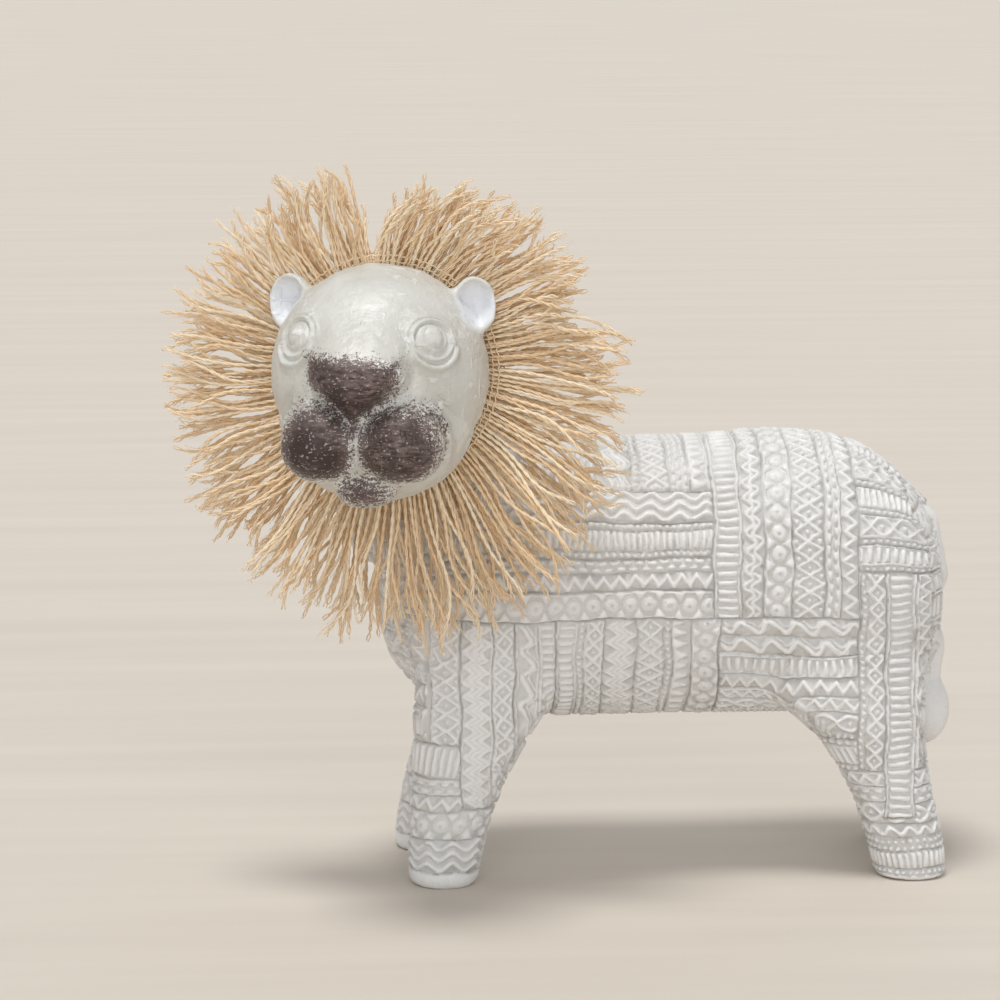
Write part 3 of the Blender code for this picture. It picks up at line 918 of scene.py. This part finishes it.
def noise(tree, scale, detail=3.0, stretch=None):
    place = node(tree, "ShaderNodeTexCoord")
    made = node(tree, "ShaderNodeTexNoise")
    made.inputs["Scale"].default_value = scale
    made.inputs["Detail"].default_value = detail
    source = place.outputs["Object"]
    if stretch:
        mapping = node(tree, "ShaderNodeMapping")
        mapping.inputs["Scale"].default_value = stretch
        tree.links.new(source, mapping.inputs["Vector"])
        source = mapping.outputs["Vector"]
    tree.links.new(source, made.inputs["Vector"])
    return made.outputs["Fac"]


def attribute(tree, name):
    return node(tree, "ShaderNodeAttribute", attribute_name=name).outputs["Fac"]


def ramp(tree, source, stops):
    made = node(tree, "ShaderNodeValToRGB")
    elements = made.color_ramp.elements
    while len(elements) < len(stops):
        elements.new(0.5)
    for element, (place, colour) in zip(elements, stops):
        element.position = place
        element.color = colour
    tree.links.new(source, made.inputs["Fac"])
    return made.outputs["Color"]


def scaled(tree, source, low, high, to_low=0.0, to_high=1.0):
    made = node(tree, "ShaderNodeMapRange", clamp=True)
    for key, value in (("From Min", low), ("From Max", high), ("To Min", to_low), ("To Max", to_high)):
        made.inputs[key].default_value = value
    tree.links.new(source, made.inputs["Value"])
    return made.outputs["Result"]


def maths(tree, operation, a, b):
    made = node(tree, "ShaderNodeMath", operation=operation)
    for socket, value in zip(made.inputs, (a, b)):
        if isinstance(value, float):
            socket.default_value = value
        else:
            tree.links.new(value, socket)
    return made.outputs["Value"]


def mixed(tree, factor, a, b):
    made = node(tree, "ShaderNodeMix", data_type="RGBA")
    tree.links.new(factor, made.inputs["Factor"])
    for socket, value in ((made.inputs[6], a), (made.inputs[7], b)):
        if isinstance(value, tuple):
            socket.default_value = value
        else:
            tree.links.new(value, socket)
    return made.outputs[2]


def bump(tree, shader, source, strength, distance):
    made = node(tree, "ShaderNodeBump")
    made.inputs["Strength"].default_value = strength
    made.inputs["Distance"].default_value = distance
    tree.links.new(source, made.inputs["Height"])
    tree.links.new(made.outputs["Normal"], shader.inputs["Normal"])


CHALK = (0.84, 0.835, 0.825, 1)
# Grey of the wash and of the painted shade in the recesses, also used for the fine specks
WASH_AND_SHADE_GREY = (0.38, 0.365, 0.335, 1)
GLAZE = (0.605, 0.595, 0.545, 1)
GLAZE_BRIGHT = (0.70, 0.70, 0.665, 1)
WHITE_STROKE = (0.90, 0.90, 0.89, 1)
BRONZE = (0.050, 0.030, 0.026, 1)
BRONZE_LIGHT = (0.26, 0.19, 0.175, 1)
BRONZE_EDGE = (0.20, 0.148, 0.138, 1)
FLECK = (0.62, 0.56, 0.54, 1)
EAR_BLUE = (0.80, 0.815, 0.85, 1)
# How far along the jute's shading each of its colours lies
JUTE_TONES = ((0.1, (0.50, 0.34, 0.18, 1)), (0.45, (0.90, 0.68, 0.445, 1)), (0.8, (0.98, 0.85, 0.65, 1)))
FLOOR_DARK = (0.645, 0.585, 0.515, 1)
FLOOR_PALE = (0.685, 0.625, 0.55, 1)


def resin_material():
    made, tree, shader = new_material("antiqued_and_shaded_resin", 0.4, CHALK)
    patchy = noise(tree, 60.0, 4.0)
    # The stored wash darkens the recesses and grooves: partly a grey wash, partly painted shade
    wash_and_shade = attribute(tree, "wash_and_shade")
    strength = maths(tree, "MULTIPLY", wash_and_shade, scaled(tree, patchy, 0.3, 0.7, 0.5, 1.0))
    tint = mixed(tree, strength, CHALK, WASH_AND_SHADE_GREY)
    specks = scaled(tree, noise(tree, 900.0, 2.0), 0.62, 0.75)
    tint = mixed(tree, maths(tree, "MULTIPLY", specks, 0.30), tint, WASH_AND_SHADE_GREY)
    tree.links.new(tint, shader.inputs["Base Color"])
    bump(tree, shader, noise(tree, 750.0, 5.0), 0.5, 0.0006)
    return made


def strokes(tree, scale, stretch, low, high):
    """Short scratchy brush marks, from 0 to 1."""
    return scaled(tree, noise(tree, scale, 4.0, stretch), low, high)


def face_material():
    made, tree, shader = new_material("glazed_resin", 0.3, GLAZE)
    clouds = scaled(tree, noise(tree, 38.0, 4.0), 0.38, 0.66)
    tint = mixed(tree, clouds, GLAZE, GLAZE_BRIGHT)
    marks = maths(tree, "MAXIMUM", strokes(tree, 230.0, (1.0, 1.0, 0.25), 0.585, 0.66),
                  strokes(tree, 210.0, (0.22, 1.0, 1.1), 0.59, 0.67))
    patches = scaled(tree, noise(tree, 26.0, 2.0), 0.42, 0.58)
    marks = maths(tree, "MULTIPLY", marks, patches)
    tint = mixed(tree, maths(tree, "MULTIPLY", marks, 0.85), tint, WHITE_STROKE)
    tint = mixed(tree, attribute(tree, "hollow"), tint, EAR_BLUE)
    depth = attribute(tree, "paint")
    grain = maths(tree, "ADD", scaled(tree, noise(tree, 1500.0, 4.0), 0.30, 0.70, -0.75, 0.75),
                  scaled(tree, noise(tree, 420.0, 4.0, (1.0, 1.0, 2.2)), 0.30, 0.70, -0.55, 0.55))
    ragged = maths(tree, "ADD", scaled(tree, depth, -3.8, 3.8, -1.25, 1.25), grain)
    paint = scaled(tree, ragged, -0.22, 0.30)
    streaks = scaled(tree, noise(tree, 420.0, 5.0, (0.6, 1.0, 1.8)), 0.40, 0.72)
    bronze = mixed(tree, maths(tree, "MULTIPLY", streaks, scaled(tree, noise(tree, 55.0, 2.0), 0.35, 0.6)),
                   BRONZE, BRONZE_LIGHT)
    flecks = scaled(tree, noise(tree, 1000.0, 3.0, (0.7, 1.0, 1.3)), 0.60, 0.68)
    bronze = mixed(tree, scaled(tree, depth, 0.0, 4.6, 0.6, 0.0), bronze, BRONZE_EDGE)
    bronze = mixed(tree, maths(tree, "MULTIPLY", flecks, 0.55), bronze, FLECK)
    tint = mixed(tree, paint, tint, bronze)
    tree.links.new(tint, shader.inputs["Base Color"])
    tree.links.new(scaled(tree, paint, 0.0, 1.0, 0.0, 0.25), shader.inputs["Metallic"])
    gloss = scaled(tree, noise(tree, 120.0, 3.0), 0.3, 0.7, 0.33, 0.48)
    rough = maths(tree, "MAXIMUM", gloss, scaled(tree, paint, 0.0, 1.0, 0.0, 0.52))
    tree.links.new(rough, shader.inputs["Roughness"])
    lumps = maths(tree, "ADD", noise(tree, 230.0, 5.0), maths(tree, "MULTIPLY", marks, 0.5))
    bump(tree, shader, lumps, 0.6, 0.0014)
    return made


def jute_material():
    made, tree, shader = new_material("jute_twine", 0.8)
    tone = attribute(tree, "tone")
    fibre = noise(tree, 1300.0, 3.0)
    shade = maths(tree, "ADD", maths(tree, "MULTIPLY", tone, 0.7), maths(tree, "MULTIPLY", fibre, 0.3))
    tree.links.new(ramp(tree, shade, JUTE_TONES), shader.inputs["Base Color"])
    bump(tree, shader, fibre, 0.5, 0.0003)
    return made


# The mane

RING_MIDDLE = HEAD_CENTRE - FACING * (SEAT_BEHIND + CHANNEL_DEPTH / 2)
STRAND_LAYERS = 4
STRANDS_A_LAYER = 152
# Where the strands start, and how much further out each layer does
ROOT_RADIUS = 36.5
LAYER_RISE = 0.8
# The two plies of a strand: steps along it, sides, radius, distance from the strand's middle
# line, length of a turn, and where along the strand the twist comes undone
PLY_STEPS = 44
PLY_SIDES = 4
PLY_RADIUS = 0.43
PLY_OFFSET = 0.31
TWIST_PITCH = 8.5
FRAY_FROM = 0.84
# Loose fibres on each strand: how many, their steps and sides, and radius at root and tip
FIBRES = 6
FIBRE_STEPS = 6
FIBRE_SIDES = 3
FIBRE_RADII = (0.20, 0.09)
# How many clumps the strands lean to, and the direction in which they lean most
CLUMPS = 34
CLUMP_DRAWS = 400
LOOSEST = math.radians(125)
STRAND_SEED, CLUMP_SEED = 40, 100
# How far the mane reaches in each direction, turning from straight up towards the lion's left
REACH = (
    (0, 71), (10, 74.5), (20, 80), (34, 82), (48, 85.5), (63, 92), (72, 84), (76, 84), (80, 96), (95, 99),
    (105, 101), (115, 103), (125, 106.5), (135, 109.5), (145, 111), (155, 111), (170, 115), (185, 113),
    (195, 110), (205, 105), (215, 102), (225, 99), (235, 100), (245, 96), (255, 93), (265, 95),
    (275, 93.5), (285, 88), (295, 87), (305, 88.5), (315, 86.5), (325, 82), (335, 87), (345, 85),
    (351, 62), (360, 71),
)
# Where the mane parts at the top, and how far its two sides lean away from there
PARTING = math.radians(351)
PART_LEAN = math.radians(9)
PART_WIDTH = math.radians(16)


def reach_at(angle):
    table = np.array(REACH)
    return np.interp(np.mod(np.degrees(angle), 360), table[:, 0], table[:, 1])


def turn_to(angle):
    """The same angle between minus and plus half a turn."""
    return np.mod(angle + math.pi, 2 * math.pi) - math.pi


def smooth_noise(chance, count, waves, low, high):
    """count random smooth curves of t, each a sum of a few sines."""
    phase = chance.uniform(0, 2 * math.pi, (count, waves, 1))
    pace = chance.uniform(low, high, (count, waves, 1))
    return lambda t: np.sin(phase + pace * t[None, None, :]).mean(axis=1)


def strand_paths(chance, angles, layer, t):
    """The middle line of each strand at t from 0 at the root to 1 at the tip."""
    count = len(angles)
    clump = np.round(angles / (2 * math.pi) * CLUMPS + layer * 0.37).astype(int)
    own = np.random.default_rng(CLUMP_SEED + layer)
    pull = own.uniform(-0.6, 0.6, CLUMP_DRAWS)[clump]
    clump_angle = (clump + pull) / CLUMPS * 2 * math.pi
    toward = turn_to(clump_angle - angles)
    from_loosest = np.abs(np.mod(angles - LOOSEST, 2 * math.pi) - math.pi)
    loose = 0.18 + 0.50 * step_up(from_loosest, 2.4, 0.9)
    bend = (toward * loose)[:, None] * t[None, :] ** 1.4
    bend += smooth_noise(chance, count, 3, 1.5, 8)(t) * 0.095 * t[None, :]
    away = turn_to(angles - PARTING)
    lean_off = np.sign(away) * PART_LEAN * np.exp(-np.abs(away) / PART_WIDTH)
    direction = angles[:, None] + bend + lean_off[:, None] * t[None, :]
    clump_long = own.uniform(0.92, 1.04, CLUMP_DRAWS)[clump]
    tip_angle = direction[:, -1]
    long = reach_at(tip_angle) * clump_long * chance.uniform(0.88, 1.01, count)
    start = ROOT_RADIUS + layer * LAYER_RISE
    radius = start + (long - start)[:, None] * t[None, :]
    lean = (-10.0 + 6.0 * layer + chance.uniform(-2.0, 2.0, count))[:, None] * t[None, :] ** 1.2
    lean += smooth_noise(chance, count, 3, 2, 8)(t) * 2.2 * t[None, :]
    seat = (CHANNEL_DEPTH / 2 - 1.3) * (layer / (STRAND_LAYERS - 1) * 2 - 1)
    ahead = seat * (1 - 0.3 * t[None, :]) + lean
    droop = (0.035 * (long - start))[:, None] * t[None, :] ** 2 * np.abs(np.sin(angles))[:, None]
    side = np.sin(direction) * radius
    up = np.cos(direction) * radius - droop
    middle = np.array(RING_MIDDLE)
    return (middle + side[..., None] * ACROSS + up[..., None] * UP
            + ahead[..., None] * AHEAD)


def frames(paths):
    """Two directions square to each path at each point."""
    ahead = np.gradient(paths, axis=1)
    ahead /= np.linalg.norm(ahead, axis=2, keepdims=True) + 1e-9
    one = np.cross(ahead, AHEAD)
    one /= np.linalg.norm(one, axis=2, keepdims=True) + 1e-9
    return one, np.cross(ahead, one)


def tubes(paths, radii, sides):
    """Vertices and faces of closed tubes along paths (count, steps, 3) with those radii."""
    count, steps, _ = paths.shape
    one, two = frames(paths)
    angle = 2 * math.pi * np.arange(sides) / sides
    ring = one[:, :, None] * np.cos(angle)[:, None] + two[:, :, None] * np.sin(angle)[:, None]
    verts = (paths[:, :, None] + ring * radii[:, :, None, None]).reshape(-1, 3)
    base = np.arange(count)[:, None, None] * steps * sides
    row = np.arange(steps - 1)[None, :, None] * sides
    col = np.arange(sides)[None, None, :]
    after = (np.arange(sides) + 1) % sides
    a = base + row + col
    b = base + row + after[None, None, :]
    quads = np.stack((a, b, b + sides, a + sides), axis=-1).reshape(-1, 4)
    starts = np.arange(count)[:, None] * steps * sides
    ends = starts + (steps - 1) * sides
    caps = np.concatenate((starts + np.arange(sides)[::-1], ends + np.arange(sides)))
    return verts, quads, caps


def mesh_of_tubes(name, groups, surface):
    """One object from groups of (paths, radii, sides, tones)."""
    verts, loops, starts, tones = [], [], [], []
    shift = 0
    loop_at = 0
    for paths, radii, sides, tone in groups:
        v, quads, caps = tubes(paths, radii, sides)
        verts.append(v)
        tones.append(np.repeat(tone, paths.shape[1] * sides))
        for faces in (quads, caps):
            flat = (faces + shift).ravel()
            size = faces.shape[1]
            loops.append(flat)
            starts.append(loop_at + np.arange(len(faces)) * size)
            loop_at += len(flat)
        shift += len(v)
    mesh = bpy.data.meshes.new(name)
    verts = np.concatenate(verts) * UNIT + np.array(MIDDLE)
    loops = np.concatenate(loops)
    starts = np.concatenate(starts)
    mesh.vertices.add(len(verts))
    mesh.vertices.foreach_set("co", verts.astype(np.float32).ravel())
    mesh.loops.add(len(loops))
    mesh.loops.foreach_set("vertex_index", loops.astype(np.int32))
    mesh.polygons.add(len(starts))
    mesh.polygons.foreach_set("loop_start", starts.astype(np.int32))
    mesh.update(calc_edges=True)
    store(mesh, "tone", np.concatenate(tones))
    mesh.shade_smooth()
    mesh.materials.append(surface)
    made = bpy.data.objects.new(name, mesh)
    bpy.context.scene.collection.objects.link(made)
    return made


def ply_groups(chance, paths, tone):
    """The two plies that twist round each path and part towards its tip."""
    count = len(paths)
    t = np.linspace(0, 1, PLY_STEPS)
    one, two = frames(paths)
    phase = chance.uniform(0, 2 * math.pi, count)[:, None]
    long = np.linalg.norm(np.diff(paths, axis=1), axis=2).sum(axis=1)[:, None]
    untwist = np.clip((t[None, :] - FRAY_FROM) / (1 - FRAY_FROM), 0, 1)
    groups = []
    for ply in (0, 1):
        turn = phase + ply * math.pi + 2 * math.pi * long / TWIST_PITCH * t[None, :]
        out = PLY_OFFSET + 0.8 * untwist ** 1.5 * chance.uniform(0.1, 1.0, (count, 1))
        offset = one * (np.cos(turn) * out)[..., None] + two * (np.sin(turn) * out)[..., None]
        radii = PLY_RADIUS * (1 - 0.5 * untwist) * np.ones((count, 1))
        groups.append((paths + offset, radii, PLY_SIDES, np.clip(tone + ply * 0.1, 0, 1)))
    return groups


def fibre_group(chance, paths, tone, first):
    """One loose fibre on each path: anywhere along it for the first, near the tip for the others."""
    count = len(paths)
    begin = chance.uniform(0.05, 0.6, count) if first else chance.uniform(0.60, 0.88, count)
    reach = chance.uniform(0.10, 0.22, count)
    s = np.linspace(0, 1, FIBRE_STEPS)
    where = np.clip(begin[:, None] + reach[:, None] * s[None, :], 0, 1.0) * (PLY_STEPS - 1)
    low = np.floor(where).astype(int).clip(0, PLY_STEPS - 2)
    part = (where - low)[..., None]
    rows = np.arange(count)[:, None]
    along = paths[rows, low] * (1 - part) + paths[rows, low + 1] * part
    away = chance.normal(0, 1, (count, 1, 3))
    away /= np.linalg.norm(away, axis=2, keepdims=True)
    spread_out = chance.uniform(0.6, 2.6, (count, 1, 1)) * s[None, :, None] ** 1.3
    radii = np.linspace(*FIBRE_RADII, FIBRE_STEPS)[None, :] * np.ones((count, 1))
    return along + away * (0.35 + spread_out), radii, FIBRE_SIDES, np.clip(tone + 0.15, 0, 1)


def strand_groups(layer):
    """Twisted two-ply twine, frayed into fibres at the tip, for one layer of the mane."""
    chance = np.random.default_rng(STRAND_SEED + layer)
    count = STRANDS_A_LAYER
    step = 2 * math.pi / count
    uneven = chance.uniform(-0.25, 0.25, count) * step
    angles = np.arange(count) * step + layer * step / STRAND_LAYERS + uneven
    paths = strand_paths(chance, angles, layer, np.linspace(0, 1, PLY_STEPS))
    tone = chance.uniform(0.25, 0.85, count)
    groups = ply_groups(chance, paths, tone)
    for number in range(FIBRES):
        groups.append(fibre_group(chance, paths, tone, number == 0))
    return groups


# Rolls of the heading: radius, distance ahead of its middle, and thickness
HEADING_ROLLS = ((35.2, 2.6, 1.7), (35.2, -2.6, 1.7), (36.2, 0.0, 2.2))
# Rows of stitches: radius and distance ahead, and the stitches' sway, number and thickness
STITCH_ROWS = ((42.2, 4.1), (44.6, 4.5), (42.6, -4.6), (45.0, -5.2))
STITCH_SWAY, STITCHES, STITCH_RADIUS = 0.28, 76, 0.33


def ring_path(radius, ahead, ripple=0.0, turns=0):
    """A closed line round the head, which can sway in and out that many times."""
    angle = np.linspace(0, 2 * math.pi, 541)
    far = radius + ripple * np.sin(angle * turns)
    deep = ahead + ripple * np.cos(angle * turns)
    return (np.array(RING_MIDDLE) + (np.sin(angle) * far)[:, None] * ACROSS
            + (np.cos(angle) * far)[:, None] * UP + deep[:, None] * AHEAD)


def heading_groups():
    """The rolled heading that the strands hang from, and the rows of stitches before and behind."""
    groups = []
    for radius, ahead, thick in HEADING_ROLLS:
        path = ring_path(radius, ahead)[::3]
        groups.append((path[None], np.full((1, len(path)), thick), 8, np.array([0.4])))
    for radius, ahead in STITCH_ROWS:
        path = ring_path(radius, ahead, STITCH_SWAY, STITCHES)
        groups.append((path[None], np.full((1, len(path)), STITCH_RADIUS), 5, np.array([0.45])))
    return groups


def make_mane(surface):
    made = [mesh_of_tubes(f"jute_strands_{layer + 1}", strand_groups(layer), surface)
            for layer in range(STRAND_LAYERS)]
    made.append(mesh_of_tubes("jute_heading", heading_groups(), surface))
    return made


# Floor, light and camera

def make_stage():
    """One wide flat table top."""
    bm = bmesh.new()
    bmesh.ops.create_circle(bm, cap_ends=True, segments=96, radius=60)
    floor = object_of("floor", bm)
    made, tree, shader = new_material("pale_floor", 0.75)
    grain = scaled(tree, noise(tree, 5.0, 4.0, (0.5, 7.0, 1.0)), 0.3, 0.7)
    tint = mixed(tree, grain, FLOOR_DARK, FLOOR_PALE)
    tree.links.new(tint, shader.inputs["Base Color"])
    floor.data.materials.append(made)


def sun(name, source, strength, softness, colour):
    light = bpy.data.lights.new(name, "SUN")
    light.energy = strength
    light.angle = math.radians(softness)
    light.color = colour
    made = bpy.data.objects.new(name, light)
    made.rotation_euler = Vector(source).to_track_quat("Z", "Y").to_euler()
    bpy.context.scene.collection.objects.link(made)


# Name, where it shines from, strength, softness in degrees and colour of each light
LIGHTS = (
    ("key", (-0.32, -0.34, 1.9), 1.62, 16, (1.0, 0.985, 0.965)),
    ("fill", (-0.1, -2.4, 0.6), 1.1, 60, (0.96, 0.98, 1.0)),
    ("back", (0.5, 1.8, 0.7), 0.45, 60, (1.0, 0.98, 0.95)),
)


def light_scene():
    """A key light nearly overhead, soft light from before and behind, and a pale surround."""
    for light in LIGHTS:
        sun(*light)
    world = bpy.data.worlds.new("studio")
    world.use_nodes = True
    background = world.node_tree.nodes["Background"]
    background.inputs["Color"].default_value = (0.985, 0.99, 1.0, 1)
    background.inputs["Strength"].default_value = 0.43
    bpy.context.scene.world = world


def place_camera():
    """The photograph's view: a little to the left of square on, and a little from above."""
    azimuth, elevation, distance = math.radians(-4), math.radians(9.5), 1.6
    target = MIDDLE + Vector((-0.056, -0.045, 0.1605))
    level = math.cos(elevation)
    away = Vector((math.sin(azimuth) * level, -math.cos(azimuth) * level, math.sin(elevation)))
    camera = bpy.data.cameras.new("camera")
    camera.lens = 144
    camera.sensor_width = 36
    made = bpy.data.objects.new("camera", camera)
    made.location = target + away * distance
    made.rotation_euler = (-away).to_track_quat("-Z", "Y").to_euler()
    bpy.context.scene.collection.objects.link(made)
    bpy.context.scene.camera = made


def glaze_head(lion):
    """The glazed head takes the second material."""
    centres = np.empty(len(lion.data.polygons) * 3, dtype=np.float32)
    lion.data.polygons.foreach_get("center", centres)
    points = (centres.reshape(-1, 3) - np.array(MIDDLE)) / UNIT
    glazed = is_head(points)
    lion.data.polygons.foreach_set("material_index", glazed.astype(np.int32))
    lion.data.update()


def main():
    lion = make_lion()
    lion.data.materials.append(resin_material())
    lion.data.materials.append(face_material())
    glaze_head(lion)
    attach(lion, "root")
    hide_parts("resin_lion")
    for piece in make_mane(jute_material()):
        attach(piece, "root")
        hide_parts("jute_mane")
    make_stage()
    light_scene()
    place_camera()
    bpy.context.scene.view_settings.view_transform = "Standard"


main()
